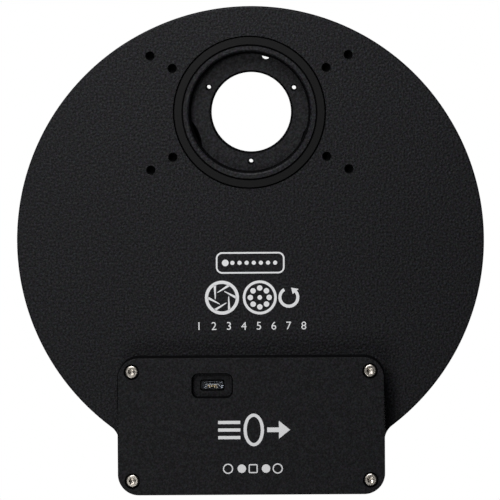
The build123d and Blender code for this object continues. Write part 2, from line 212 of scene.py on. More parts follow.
def joined(name, obs):
    """Several objects as one mesh."""
    bm = bmesh.new()
    for o in obs:
        bm.from_mesh(o.data)
    me = bpy.data.meshes.new(name)
    bm.to_mesh(me)
    bm.free()
    for o in obs:
        data = o.data
        bpy.data.objects.remove(o)
        bpy.data.meshes.remove(data)
    ob = bpy.data.objects.new(name, me)
    bpy.context.scene.collection.objects.link(ob)
    return ob


def copies(name, ob, places):
    """Copies of ob at (u, v, turn in degrees), as one mesh."""
    bm = bmesh.new()
    for u, v, turn in places:
        me = ob.data.copy()
        me.transform(Matrix.Translation((u, v, 0)) @ Matrix.Rotation(math.radians(turn), 4, "Z"))
        bm.from_mesh(me)
        bpy.data.meshes.remove(me)
    me = bpy.data.meshes.new(name)
    bm.to_mesh(me)
    bm.free()
    data = ob.data
    bpy.data.objects.remove(ob)
    bpy.data.meshes.remove(data)
    out = bpy.data.objects.new(name, me)
    bpy.context.scene.collection.objects.link(out)
    return out


def settle(ob, name, body, material, replaces=(), angle=30.0):
    """Shades, moves into the row frame, and hands the piece over."""
    ob.name = name
    ob.data.name = name
    bm = bmesh.new()
    bm.from_mesh(ob.data)
    bmesh.ops.dissolve_degenerate(bm, dist=1e-5, edges=bm.edges)
    limit = math.radians(angle)
    for f in bm.faces:
        f.smooth = True
    for e in bm.edges:
        if len(e.link_faces) != 2:
            continue
        a, b = e.link_faces
        flat_a, flat_b = abs(a.normal.z) > 0.99998, abs(b.normal.z) > 0.99998
        e.smooth = not (e.calc_face_angle(0.0) > limit or flat_a != flat_b)
    bm.to_mesh(ob.data)
    bm.free()
    ob.data.transform(TO_ROW)
    ob.data.update()
    ob.data.materials.clear()
    ob.data.materials.append(material)
    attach(ob, body)
    if replaces:
        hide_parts(*replaces)
    return ob


def second(ob, material, test):
    """Gives the faces that pass test(u, v, w, slope) another material. slope is 1 on a face that looks along +w."""
    ob.data.materials.append(material)
    index = len(ob.data.materials) - 1
    for p in ob.data.polygons:
        c = p.center
        if test(c.x * 1000, c.z * 1000 + PORT_UP, -c.y * 1000, -p.normal.y):
            p.material_index = index
    return ob


# ------------------------------------------------------------------ materials
def material(name, base, rough, metallic=0.0, spec=0.5):
    m = bpy.data.materials.new(name)
    m.use_nodes = True
    m.diffuse_color = (*base, 1)
    nodes, links = m.node_tree.nodes, m.node_tree.links
    b = nodes["Principled BSDF"]
    b.inputs["Base Color"].default_value = (*base, 1)
    b.inputs["Roughness"].default_value = rough
    b.inputs["Metallic"].default_value = metallic
    b.inputs["Specular IOR Level"].default_value = spec
    return m, nodes, links, b


def noise(nodes, links, coord, scale, detail=2.0, rough=0.5, stretch=None):
    n = nodes.new("ShaderNodeTexNoise")
    n.inputs["Scale"].default_value = scale
    n.inputs["Detail"].default_value = detail
    n.inputs["Roughness"].default_value = rough
    if stretch:
        mp = nodes.new("ShaderNodeMapping")
        mp.inputs["Scale"].default_value = stretch
        links.new(coord, mp.inputs["Vector"])
        links.new(mp.outputs["Vector"], n.inputs["Vector"])
    else:
        links.new(coord, n.inputs["Vector"])
    return n.outputs["Fac"]


def ramp(nodes, links, fac, stops):
    r = nodes.new("ShaderNodeValToRGB")
    el = r.color_ramp.elements
    while len(el) < len(stops):
        el.new(0.5)
    for e, (pos, col) in zip(el, stops):
        e.position = pos
        e.color = (*col, 1)
    links.new(fac, r.inputs["Fac"])
    return r.outputs["Color"]


def span(nodes, links, fac, lo, hi, out_lo, out_hi):
    r = nodes.new("ShaderNodeMapRange")
    r.inputs["From Min"].default_value, r.inputs["From Max"].default_value = lo, hi
    r.inputs["To Min"].default_value, r.inputs["To Max"].default_value = out_lo, out_hi
    links.new(fac, r.inputs["Value"])
    return r.outputs["Result"]


def times(nodes, links, a, b):
    m = nodes.new("ShaderNodeMix")
    m.data_type, m.blend_type = "RGBA", "MULTIPLY"
    m.inputs["Factor"].default_value = 1.0
    links.new(a, m.inputs["A"])
    links.new(b, m.inputs["B"])
    return m.outputs["Result"]


def bump(nodes, links, b, height, strength, dist):
    n = nodes.new("ShaderNodeBump")
    n.inputs["Strength"].default_value = strength
    n.inputs["Distance"].default_value = dist
    links.new(height, n.inputs["Height"])
    links.new(n.outputs["Normal"], b.inputs["Normal"])
    return n


def grey(v, tint=(1.0, 1.0, 1.0)):
    return tuple(v * t for t in tint)


def blasted(name, level, contrast, rough, grain=2300.0, bump_mm=0.02, tint=(0.98, 0.98, 1.16), spec=0.5):
    """Bead-blasted, black anodised aluminium: a fine, even grain of dark pits and lighter grains."""
    m, nodes, links, b = material(name, grey(level, tint), rough, 0.0, spec)
    co = nodes.new("ShaderNodeTexCoord").outputs["Object"]
    fine = noise(nodes, links, co, grain, 2.0, 0.55)
    grains = ramp(nodes, links, fine, [(0.36, grey(level * (1 - contrast), tint)), (0.5, grey(level, tint)),
                                       (0.64, grey(level * (1 + 1.5 * contrast), tint))])
    broad = noise(nodes, links, co, 26.0, 3.0, 0.5)
    cloud = ramp(nodes, links, broad, [(0.3, (0.93, 0.93, 0.935)), (0.7, (1.07, 1.07, 1.065))])
    hue = nodes.new("ShaderNodeTexNoise")
    hue.inputs["Scale"].default_value = grain * 0.7
    links.new(co, hue.inputs["Vector"])
    soft = nodes.new("ShaderNodeMix")
    soft.data_type, soft.blend_type = "RGBA", "OVERLAY"
    soft.inputs["Factor"].default_value = 0.65
    links.new(times(nodes, links, grains, cloud), soft.inputs["A"])
    links.new(hue.outputs["Color"], soft.inputs["B"])
    links.new(soft.outputs["Result"], b.inputs["Base Color"])
    links.new(span(nodes, links, fine, 0.3, 0.7, rough + 0.06, rough - 0.06), b.inputs["Roughness"])
    pits = noise(nodes, links, co, grain * 0.8, 1.0, 0.5)
    bump(nodes, links, b, pits, 0.55, bump_mm * 0.001)
    return m


def turned(name, level, rough, tint=(1, 1, 1), spec=0.5, centre=(0.0, 0.0), metallic=0.0, line=9000.0, depth=0.004, contrast=0.12):
    """A lathe-turned surface: fine rings about an axis along Y at the given (X, Z)."""
    m, nodes, links, b = material(name, grey(level, tint), rough, metallic, spec)
    co = nodes.new("ShaderNodeTexCoord").outputs["Object"]
    sep = nodes.new("ShaderNodeSeparateXYZ")
    links.new(co, sep.inputs["Vector"])
    flat = nodes.new("ShaderNodeCombineXYZ")
    for axis, c in (("X", centre[0]), ("Z", centre[1])):
        sub = nodes.new("ShaderNodeMath")
        sub.operation = "SUBTRACT"
        sub.inputs[1].default_value = c
        links.new(sep.outputs[axis], sub.inputs[0])
        links.new(sub.outputs["Value"], flat.inputs[axis])
    length = nodes.new("ShaderNodeVectorMath")
    length.operation = "LENGTH"
    links.new(flat.outputs["Vector"], length.inputs[0])
    rings = nodes.new("ShaderNodeTexNoise")
    rings.noise_dimensions = "1D"
    rings.inputs["Scale"].default_value = line
    rings.inputs["Detail"].default_value = 2.0
    links.new(length.outputs["Value"], rings.inputs["W"])
    f = rings.outputs["Fac"]
    col = ramp(nodes, links, f, [(0.3, grey(level * (1 - contrast), tint)), (0.7, grey(level * (1 + contrast), tint))])
    cloud = ramp(nodes, links, noise(nodes, links, co, 60.0, 3.0), [(0.3, (0.94,) * 3), (0.7, (1.06,) * 3)])
    links.new(times(nodes, links, col, cloud), b.inputs["Base Color"])
    links.new(span(nodes, links, f, 0.3, 0.7, rough - 0.05, rough + 0.05), b.inputs["Roughness"])
    bump(nodes, links, b, f, 0.4, depth * 0.001)
    return m


def metal(name, base, rough, scratch=900.0, stretch=(1, 1, 6), dirt=0.10):
    m, nodes, links, b = material(name, base, rough, 1.0)
    co = nodes.new("ShaderNodeTexCoord").outputs["Object"]
    lines = noise(nodes, links, co, scratch, 3.0, 0.6, stretch)
    col = ramp(nodes, links, lines, [(0.3, tuple(c * (1 - dirt) for c in base)), (0.7, tuple(min(1, c * (1 + dirt * 0.6)) for c in base))])
    links.new(col, b.inputs["Base Color"])
    links.new(span(nodes, links, lines, 0.3, 0.7, rough - 0.05, rough + 0.07), b.inputs["Roughness"])
    bump(nodes, links, b, lines, 0.2, 0.000004)
    return m


def plastic(name, base, rough, grain=1600.0, contrast=0.10, spec=0.5, bump_mm=0.008):
    m, nodes, links, b = material(name, base, rough, 0.0, spec)
    co = nodes.new("ShaderNodeTexCoord").outputs["Object"]
    f = noise(nodes, links, co, grain, 3.0, 0.55)
    col = ramp(nodes, links, f, [(0.3, tuple(c * (1 - contrast) for c in base)), (0.7, tuple(min(1, c * (1 + contrast)) for c in base))])
    links.new(col, b.inputs["Base Color"])
    links.new(span(nodes, links, f, 0.3, 0.7, rough - 0.05, rough + 0.05), b.inputs["Roughness"])
    bump(nodes, links, b, f, 0.3, bump_mm * 0.001)
    return m


MAT = {
    "housing": blasted("blasted_black", 0.0066, 0.95, 0.54, grain=1480.0, bump_mm=0.33, spec=0.165),
    # Painted shade: a darker black for the box's side walls, standing in for the dark line of shade along the box's
    # edges.
    "wall_shade": blasted("box_wall_painted_shade", 0.0019, 0.5, 0.58, grain=2000.0, bump_mm=0.05, spec=0.06),
    # Painted shade: a near-black material laid on hole walls, chamfers and recesses where shade falls.
    "shade": blasted("recess_painted_shade", 0.0012, 0.5, 0.62, grain=2300.0, bump_mm=0.02, spec=0.04),
    "cover": blasted("cover_black", 0.0060, 0.75, 0.54, grain=1700.0, bump_mm=0.17, spec=0.17),
    "carousel": blasted("carousel_black", 0.0064, 0.75, 0.55, grain=1300.0, bump_mm=0.17, spec=0.18),
    "ring": turned("turned_black", 0.0036, 0.50, spec=0.144, depth=0.002),
    "screw": metal("stainless", (0.66, 0.61, 0.54), 0.30),
    "oxide": metal("black_oxide_steel", (0.045, 0.045, 0.048), 0.38),
    "ground": metal("ground_steel", (0.55, 0.55, 0.56), 0.22),
    "zinc": metal("zinc_steel", (0.52, 0.53, 0.55), 0.33),
    "aluminium": metal("bare_aluminium", (0.72, 0.72, 0.73), 0.35, stretch=(6, 1, 1)),
    "acetal": plastic("acetal", (0.82, 0.82, 0.77), 0.42, 700.0, 0.03),
    "brass": metal("gear_brass", (0.72, 0.52, 0.23), 0.30),
    "magnet": plastic("magnet_grey", (0.07, 0.07, 0.075), 0.55, 1500.0, 0.25),
    "copper": metal("coil_copper", (0.62, 0.30, 0.14), 0.35, 2600.0, (1, 12, 1)),
    "board": plastic("board_laminate", (0.012, 0.075, 0.035), 0.34, 900.0, 0.18),
    "black_plastic": plastic("black_plastic", (0.018, 0.018, 0.019), 0.42),
    "crystal": metal("crystal_case", (0.62, 0.62, 0.63), 0.25),
    "ceramic": plastic("ceramic_tan", (0.42, 0.30, 0.18), 0.5, 1200.0, 0.12),
    "white_plastic": plastic("connector_white", (0.80, 0.79, 0.73), 0.45, 900.0, 0.04),
    "lead": plastic("lead_grey", (0.30, 0.31, 0.33), 0.5, 1500.0, 0.1),
    "print": plastic("white_print", (0.86, 0.86, 0.86), 0.6, 3000.0, 0.04, 0.3, 0.004),
    "gold": metal("gold_plate", (0.83, 0.62, 0.30), 0.25),
    "shell": metal("nickel_shell", (0.62, 0.65, 0.70), 0.24),
}


# ------------------------------------------------------------------ cutters
def bore(u, v, r, w_deep, w_face, way=1, chamfer=0.0, n=48, tip=0.0, thread=None, over=1.0):
    """A round hole from w_deep out past the face at w_face. way is +1 if the face looks along +w. thread: (pitch, depth)."""
    lo, hi = w_deep, w_face - way * chamfer
    body = [(r, lo), (r, hi)]
    th = None
    if thread:
        body = thread_rows(r, lo + way * 0.02, hi, thread[0], 6)
        th = (min(lo, hi), max(lo, hi), thread[0], thread[1], r)
    prof = ([(0.01, lo - way * tip)] if tip else []) + body
    if chamfer:
        prof += [(r + chamfer, w_face)]
    prof += [(r + chamfer + (over * 0.0), w_face + way * over)]
    return lathe("c", prof, n, (u, v), thread=th)


def plain(u, v, r, w0, w1, n=96):
    return lathe("c", [(r, w0), (r, w1)], n, (u, v))


def gear_outline(module, teeth, phase_deg, add, ded, slack, radii):
    rp = module * teeth / 2
    rb = rp * math.cos(math.radians(20))
    inv = lambda a: math.tan(a) - a
    half = (math.pi * module / 2 - slack) / (2 * rp)
    flank = [(r, half + inv(math.radians(20)) - inv(math.acos(min(1.0, rb / r)))) for r in radii]
    pts = []
    for t in range(teeth):
        c = math.radians(phase_deg) + 2 * math.pi * t / teeth
        pts += [(r * math.cos(c - h), r * math.sin(c - h)) for r, h in flank]
        pts += [(r * math.cos(c + h), r * math.sin(c + h)) for r, h in reversed(flank)]
    return pts


def spin(u, v, deg):
    a = math.radians(deg)
    return u * math.cos(a) - v * math.sin(a), u * math.sin(a) + v * math.cos(a)


# ------------------------------------------------------------------ housing pan
steps = edge_round(0.0, 0.5, 1)
rings = [[(u, v, -BODY_T + REAR_T) for u, v in body_outline(0.12)], [(u, v, -BODY_T + REAR_T + 0.12) for u, v in body_outline(0.0)]]
rings += [[(u, v, w) for u, v in body_outline(i)] for i, w in steps]
shell = loft("shell", rings)
cutters = [plain(0, 0, CAVITY_R, -BODY_T, -FRONT_WALL, 256), plain(*IDLER, 8.4, -BODY_T, -FRONT_WALL, 64),
           plain(0, PORT_UP, BARREL_R + 0.05, -FRONT_WALL - 1, 0.5, 160), lathe("c", [(RING_R + RING_GAP, -RING_FLANGE), (RING_R + RING_GAP, -0.12), (RING_R + RING_GAP + 0.12, 0.0), (RING_R + RING_GAP + 0.12, 0.5)], 192, (0, PORT_UP)),
           plain(*IDLER, 11.3, -FRONT_WALL - 1, 1), plain(*MOTOR, 4.6, -FRONT_WALL - 1, 1),
           rounded_prism("c", SENSOR[0] - 3.2, SENSOR[0] + 3.2, SENSOR[1] - 2.6, SENSOR[1] + 2.6, 0.6, -FRONT_WALL - 1, 1, 6)]
cutters += [bore(u, v, 1.25, -3.2, 0.0, 1, 0.35, 40, 0.5, (0.5, 0.22)) for u, v in BOLTS]
cutters += [bore(u, v, 1.25, -3.4, 0.0, 1, 0.15, 32) for u, v in COVER_SCREWS]
cutters += [bore(u, v, 1.0, -2.4, 0.0, 1, 0.1, 32) for u, v in BOARD_SCREWS + PLATE_SCREWS]
cutters += [bore(u, v, 1.05, -10.5, -BODY_T + REAR_T, -1, 0.1, 32) for u, v in REAR_SCREWS]
cut(shell, cutters)
hub_add = lathe("a", [(8.0, -FRONT_WALL + 0.5), (8.0, -FRONT_WALL - 0.4), (7.8, -FRONT_WALL - 0.6)], 96)
cut(shell, [hub_add], "UNION")
cut(shell, [plain(0, 0, 2.5, -FRONT_WALL - 2, -1.2, 64)])
settle(shell, "housing_pan", "housing", MAT["housing"], ["front_housing"])
# Painted shade: the chamfers and walls of the camera bolt holes and the faces inside the port get the near-black shade
# material.
second(shell, MAT["shade"], lambda u, v, w, n: abs(n) < 0.97 and any(math.hypot(u - a, v - b) < 1.75 for a, b in BOLTS) or math.hypot(u, v - PORT_UP) < 26.4 and w < -0.05)
bosses = copies("board_bosses", lathe("b", [(2.4, -0.02), (2.4, 0.9), (2.3, 1.0), (1.0, 1.0), (1.0, -0.02)], 48, closed=True),
                [(u, v, 0) for u, v in BOARD_SCREWS])
settle(bosses, "board_bosses", "housing", MAT["aluminium"])

# ------------------------------------------------------------------ rear plate
steps = edge_round(-BODY_T, 0.5, -1)
rings = [[(u, v, w) for u, v in body_outline(i)] for i, w in reversed(steps)]
rings += [[(u, v, -BODY_T + REAR_T - 0.12) for u, v in body_outline(0.0)], [(u, v, -BODY_T + REAR_T) for u, v in body_outline(0.12)]]
rear = loft("rear", rings)
spigot = lathe("s", [(71.0, -BODY_T + REAR_T - 0.3), (71.0, -BODY_T + REAR_T + 0.8), (CAVITY_R - 0.25, -BODY_T + REAR_T + 0.8),
                     (CAVITY_R - 0.1, -BODY_T + REAR_T + 0.65), (CAVITY_R - 0.1, -BODY_T + REAR_T - 0.3)], 256, closed=True)
cut(rear, [spigot], "UNION")
cutters = [plain(0, PORT_UP, BARREL_R + 0.05, -BODY_T - 1, -BODY_T + REAR_T + 1, 160), plain(0, PORT_UP, RING_R + RING_GAP, -BODY_T - 1, -BODY_T + RING_FLANGE, 192)]
cutters += [bore(u, v, 1.25, -BODY_T + 2.8, -BODY_T, -1, 0.3, 40, 0.4, (0.5, 0.22)) for u, v in BOLTS]
cutters += [lathe("c", [(1.35, -BODY_T + REAR_T + 1), (1.35, -BODY_T + 1.2), (2.55, -BODY_T), (3.05, -BODY_T - 0.5)], 48, (u, v)) for u, v in REAR_SCREWS]
cut(rear, cutters)
settle(rear, "rear_plate", "housing", MAT["housing"], ["rear_cover"])

# ------------------------------------------------------------------ raised box
box_pts = lambda inset: [(u, v) for u, v in rounded(-FOOT_HALF, FOOT_HALF, FOOT_LOW, BOX_TOP, FOOT_CORNER, 20, -inset)]
rings = [[(u, v, 0.0) for u, v in box_pts(0.08)], [(u, v, 0.08) for u, v in box_pts(0.0)]]
rings += [[(u, v, w) for u, v in box_pts(i)] for i, w in edge_round(BOX_H, 0.38, 1)]
box = loft("box", rings)
inside = rounded_prism("c", -FOOT_HALF + BOX_WALL, FOOT_HALF - BOX_WALL, FOOT_LOW + BOX_WALL, BOX_TOP - BOX_WALL, FOOT_CORNER - BOX_WALL, -1, BOX_H - BOX_WALL, 12)
posts = [plain(u, v, 3.7, -0.5, BOX_H - 1.0, 64) for u, v in COVER_SCREWS]
floor_u, floor_v = 13.8 / 2 + 1.5, 8.2 / 2 + 1.5
posts.append(rounded_prism("p", USB[0] - floor_u, USB[0] + floor_u, USB[1] - floor_v, USB[1] + floor_v, 3.0, BOX_H - 4.4, BOX_H - 1.0, 12))
cut(inside, posts)
cut(box, [inside])
cutters = []
for u, v in COVER_SCREWS:
    cutters.append(lathe("c", [(1.4, -1.5), (1.4, BOX_H - 2.6), (2.7, BOX_H - 2.6), (2.6, BOX_H - 2.5), (2.6, BOX_H - 0.08), (2.68, BOX_H), (2.68, BOX_H + 1)], 64, (u, v)))
du, dv = 13.8 / 2, 8.2 / 2
rim = lambda grow, w: [(u, v, w) for u, v in rounded(USB[0] - du, USB[0] + du, USB[1] - dv, USB[1] + dv, 2.2, 14, grow)]
cutters.append(loft("c", [rim(-0.25, BOX_H - 3.3), rim(0.0, BOX_H - 3.05), rim(0.0, BOX_H - 0.2), rim(0.2, BOX_H), rim(0.2, BOX_H + 1)]))
cutters.append(rounded_prism("c", USB[0] - 4.2, USB[0] + 4.2, USB[1] - 1.9, USB[1] + 1.9, 0.8, BOX_H - 6, BOX_H - 3.0, 8))
cut(box, cutters)
settle(box, "box_cover", "housing", MAT["cover"], ["electronics_cover"])
# Painted shade: the box's side walls get a darker black, and the USB recess walls and the screw counterbores get the
# near-black shade material.
second(box, MAT["wall_shade"], lambda u, v, w, n: n < 0.97 and w > 0.05)
second(box, MAT["shade"], lambda u, v, w, n: n < 0.97 and (abs(u - USB[0]) < 8.0 and abs(v - USB[1]) < 5.0 or any(math.hypot(u - a, v - b) < 2.75 for a, b in COVER_SCREWS)))


# ------------------------------------------------------------------ port rings
def ring_profile(lip):
    t = RING_LEN
    prof = [(21.45, 0.0), (20.96, -0.24), (20.9, -0.32)] + thread_rows(THREAD_R, -0.45, -t + (0.8 if lip else 0.3), 0.75, 10)
    if lip:
        prof += [(THREAD_R + 0.25, -t + 0.8), (LIP_R + 0.15, -t + 0.8), (LIP_R, -t + 0.65), (LIP_R, -t + 0.1), (LIP_R + 0.1, -t)]
    else:
        prof += [(20.18, -t + 0.28), (20.18, -t)]
    return prof + [(BARREL_R - 0.15, -t), (BARREL_R, -t + 0.15), (BARREL_R, -RING_FLANGE), (RING_R, -RING_FLANGE), (RING_R, -0.12),
                   (RING_R - 0.12, 0.0), (23.36, 0.0), (23.32, -0.05), (23.32, -0.8), (22.76, -0.8), (22.76, -0.05), (22.72, 0.0)]


def port_ring(name, lip, flip, node):
    t = RING_LEN
    ring = lathe(name, ring_profile(lip), 224, (0, 0), closed=True, thread=(-t + (0.8 if lip else 0.3), -0.45, 0.75, 0.42, THREAD_R))
    if flip:
        ring.data.transform(Matrix.Translation((0, PORT_UP, -BODY_T)) @ Matrix.Rotation(math.pi, 4, "X"))
    else:
        ring.data.transform(Matrix.Translation((0, PORT_UP, 0)))
    face = -BODY_T if flip else 0.0
    settle(ring, name, "housing", MAT["ring"], [node])
    ring.data.materials.append(MAT["ring_face"])
    # The second material is the blasted face band, the ring's own finish. The third is painted shade: the thread, the
    # inner step or lip, and the groove walls get the near-black shade material.
    ring.data.materials.append(MAT["shade"])
    for p in ring.data.polygons:
        c = p.center
        v, w = c.z * 1000 + PORT_UP, -c.y * 1000
        r = math.hypot(c.x * 1000, v - PORT_UP)
        if abs(w - face) < 0.27 and 20.94 < r < 22.75:
            p.material_index = 1
        elif r < 20.95 or 22.75 < r < 23.34 and abs(w - face) > 0.01:
            p.material_index = 2
    return ring


MAT["ring_face"] = blasted("ring_face_black", 0.0078, 0.80, 0.50, grain=1300.0, bump_mm=0.17, spec=0.19)
port_ring("front_ring", False, False, "front_port_ring")
port_ring("rear_ring", True, True, "rear_port_ring")

# ------------------------------------------------------------------ carousel
rim_pts = gear_outline(0.8, 170, math.degrees(math.atan2(IDLER[1], IDLER[0])), 0.9, 1.2, 0.10, [68.0 - 0.96, 68.0, 68.0 + 0.72])
shrink = lambda r_out: [(u * r_out / math.hypot(u, v), v * r_out / math.hypot(u, v)) for u, v in rim_pts]
inner = lambda k: [(u * k, v * k) for u, v in rim_pts]
wheel = loft("wheel", [[(u, v, CAR_REAR) for u, v in shrink(CAR_R - 0.3)], [(u, v, CAR_REAR + 0.3) for u, v in shrink(CAR_R)],
                       [(u, v, -9.2) for u, v in shrink(CAR_R)], [(u, v, -9.2) for u, v in inner(0.9985)], [(u, v, -9.1) for u, v in rim_pts],
                       [(u, v, -5.3) for u, v in rim_pts], [(u, v, -5.2) for u, v in inner(0.9985)]])
cut(wheel, [lathe("a", [(11.0, CAR_REAR + 1), (11.0, HUB_REAR + 0.15), (10.85, HUB_REAR)], 96)], "UNION")
cutters = [lathe("c", [(13.0, CAR_REAR - 1), (25.0, CAR_REAR - 1), (25.0, CAR_FRONT - 3.5), (24.5, CAR_FRONT - 3.0), (13.5, CAR_FRONT - 3.0), (13.0, CAR_FRONT - 3.5)], 128, closed=True),
           plain(0, 0, 5.0, CAR_FRONT - 4.0, CAR_FRONT + 1, 96), plain(0, 0, 5.0, HUB_REAR - 1, CAR_FRONT - 4.6, 96), plain(0, 0, 4.3, HUB_REAR - 1, CAR_FRONT + 1, 96)]
for n in range(8):
    turn = PARK + 45.0 * n
    u, v = spin(0, PORT_UP, turn)
    w0, w1 = CAR_FRONT - 3.0, CAR_FRONT
    prof = [(POCKET_R + 0.2, CAR_REAR - 1), (POCKET_R + 0.2, CAR_REAR), (POCKET_R, CAR_REAR + 0.2), (POCKET_R, w0)]
    prof += [(STOP_R, w0), (STOP_R, w0 + 0.38)]
    prof += thread_rows(APERTURE_R, w0 + 0.41, w1 - 0.25, 0.6, 8) + [(APERTURE_R + 0.45, w1), (APERTURE_R + 0.45, w1 + 1)]
    cutters.append(lathe("c", prof, 128, (u, v), thread=(w0 + 0.41, w1 - 0.25, 0.6, 0.32, APERTURE_R)))
    for a in (30, 150, 270):
        x, y = RETAINER_R * math.cos(math.radians(a)), PORT_UP + RETAINER_R * math.sin(math.radians(a))
        x, y = spin(x, y, turn)
        cutters.append(lathe("c", [(0.95, CAR_REAR - 1), (0.95, CAR_REAR), (0.72, CAR_REAR + 0.15), (0.72, CAR_FRONT - 0.35), (1.2, CAR_FRONT), (1.2, CAR_FRONT + 1)], 24, (x, y)))
    cutters.append(plain(*spin(0, INDEX_R, turn + INDEX_LAG), 1.4, CAR_REAR - 1, CAR_FRONT + 1, 32))
cutters.append(plain(*spin(0, INDEX_R, PARK + 180 + 6.6), 0.9, CAR_REAR - 1, CAR_FRONT + 1, 32))
cut(wheel, cutters)
settle(wheel, "carousel_wheel", "carousel", MAT["carousel"], ["filter_carousel"])
# Painted shade: every wall of the carousel and the faces inside the filter pockets get the near-black shade material.
second(wheel, MAT["shade"], lambda u, v, w, n: abs(n) < 0.97 or w > CAR_FRONT - 3.5 and w < CAR_FRONT - 0.5)


# ------------------------------------------------------------------ screws
def cap_screw():
    seat = BOX_H - 2.6
    head = lathe("h", [(1.0, seat - 12.0), (1.22, seat - 11.8)] + [(1.22, seat)] + [(1.98, seat), (2.1, seat + 0.12), (2.1, seat + 2.15),
                       (2.04, seat + 2.35), (1.9, seat + 2.46), (1.75, seat + 2.5)], 96)
    hexa = [[(r * math.cos(math.radians(60 * k + 30)), r * math.sin(math.radians(60 * k + 30)), w) for k in range(6)]
            for r, w in ((0.25, seat + 0.75), (1.155, seat + 1.1), (1.155, seat + 2.36), (1.32, seat + 2.5), (1.32, seat + 3.0))]
    return cut(head, [loft("c", hexa)])


settle(copies("cap_screws", cap_screw(), [(u, v, t) for (u, v), t in zip(COVER_SCREWS, (8, 31, -14, 19))]),
       "cap_screws", "housing", MAT["screw"], ["cover_screws"])


def flat_screw():
    w = -BODY_T
    head = lathe("h", [(1.02, w + 8.0), (1.02, w + 1.5), (1.3, w + 1.25), (2.44, w + 0.12), (2.5, w + 0.09), (2.47, w + 0.05)], 64)
    hexa = [[(r * math.cos(math.radians(60 * k + 30)), r * math.sin(math.radians(60 * k + 30)), d) for k in range(6)]
            for r, d in ((0.2, w + 1.1), (0.866, w + 0.95), (0.866, w + 0.14), (0.96, w + 0.05), (0.96, w - 0.5))]
    return cut(head, [loft("c", hexa)])


settle(copies("flat_screws", flat_screw(), [(u, v, random.uniform(0, 60)) for u, v in REAR_SCREWS]),
       "flat_screws", "housing", MAT["oxide"], ["rear_cover_screws"])

# ------------------------------------------------------------------ USB socket in the box
BOARD_TOP = 2.6
tube_pts = lambda grow, w: [(u, v, w) for u, v in rounded(USB[0] - 3.9, USB[0] + 3.9, USB[1] - 1.5, USB[1] + 1.5, 0.75, 10, grow)]
sock = loft("sock", [tube_pts(0.0, BOARD_TOP), tube_pts(0.0, 8.25), tube_pts(-0.1, 8.4)])
cut(sock, [loft("c", [tube_pts(-0.32, BOARD_TOP + 0.6), tube_pts(-0.32, 8.25), tube_pts(-0.16, 8.45), tube_pts(-0.16, 9.0)])])
settle(sock, "usb_sleeve", "housing", MAT["shell"], ["usb_shell"])
second(sock, MAT["oxide"], lambda u, v, w, n: w > 8.0)
blade = [(0.1, BOARD_TOP + 0.6), (0.0, BOARD_TOP + 0.8), (0.0, 7.7), (-0.12, 7.9)]
tongue = loft("tongue", [[(u, v, w) for u, v in rounded(USB[0] - 2.6, USB[0] + 2.6, USB[1] - 0.1, USB[1] + 0.55, 0.14, 4, min(g, 0))] for g, w in blade])
settle(tongue, "usb_blade", "housing", MAT["black_plastic"], ["usb_tongue"])
second(tongue, MAT["shell"], lambda u, v, w, n: w > 7.4)
pads = [rounded_prism("p", USB[0] + 0.65 * n - 0.17, USB[0] + 0.65 * n + 0.17, USB[1] - 0.62, USB[1] - 0.08, 0.05, BOARD_TOP + 0.8, 7.6, 2) for n in (-2, -1, 0, 1, 2)]
settle(joined("usb_pads", pads), "usb_pads", "housing", MAT["gold"], ["usb_contacts"])


# ------------------------------------------------------------------ printed marks: plain shapes only
def band(outer, inner, w0, w1):
    """A closed band between two outlines of equal length."""
    n = len(outer)
    verts = [(u, v, w0) for u, v in outer] + [(u, v, w1) for u, v in outer] + [(u, v, w1) for u, v in inner] + [(u, v, w0) for u, v in inner]
    faces = []
    for k in range(4):
        a, b = k * n, ((k + 1) % 4) * n
        faces += [(a + i, a + (i + 1) % n, b + (i + 1) % n, b + i) for i in range(n)]
    return new_object("m", verts, faces)


def circle(u, v, r, n=72):
    return [(u + r * math.cos(2 * math.pi * k / n), v + r * math.sin(2 * math.pi * k / n)) for k in range(n)]


def arc_band(u, v, r0, r1, a0, a1, w0, w1, n=48):
    turn = [math.radians(a0 + (a1 - a0) * k / n) for k in range(n + 1)]
    pts = [(u + r1 * math.cos(t), v + r1 * math.sin(t)) for t in turn] + [(u + r0 * math.cos(t), v + r0 * math.sin(t)) for t in reversed(turn)]
    return prism("m", pts, w0, w1)


INK = 0.03
LOW_INK, TOP_INK = -0.02, INK
marks = []
pill = lambda grow: rounded(-11.9, 11.7, -11.4, -4.0, 2.2, 24, grow)
marks.append(band(pill(0.0), pill(-0.55), LOW_INK, TOP_INK))
for n in range(8):
    marks.append(prism("m", circle(-0.1 + 2.45 * (n - 3.5), -7.7, 0.72 if n else 1.15), LOW_INK, TOP_INK))
settle(joined("mark_places", marks), "mark_places", "housing", MAT["print"])

marks = []
y = -19.65
marks.append(band(circle(-9.9, y, 5.85), circle(-9.9, y, 4.75), LOW_INK, TOP_INK))
for n in range(6):
    a0 = math.radians(60 * n)
    p = [(-9.9 + r * math.cos(a), y + r * math.sin(a)) for r, a in ((4.9, a0 - 0.10), (4.9, a0 + 0.10), (2.5, a0 + 1.32), (2.15, a0 + 1.12))]
    marks.append(prism("m", p, LOW_INK, TOP_INK))
marks.append(band(circle(3.1, y, 5.85), circle(3.1, y, 4.95), LOW_INK, TOP_INK))
for n in range(8):
    a = math.radians(45 * n + 90)
    marks.append(prism("m", circle(3.1 + 3.25 * math.cos(a), y + 3.25 * math.sin(a), 0.95, 32), LOW_INK, TOP_INK))
marks.append(prism("m", circle(3.1, y, 0.8, 32), LOW_INK, TOP_INK))
marks.append(arc_band(13.1, y, 2.55, 3.6, -240, 40, LOW_INK, TOP_INK))
tip = math.radians(40)
cu, cv = 13.1 + 3.08 * math.cos(tip), y + 3.08 * math.sin(tip)
along, side = (-math.sin(tip), math.cos(tip)), (math.cos(tip), math.sin(tip))
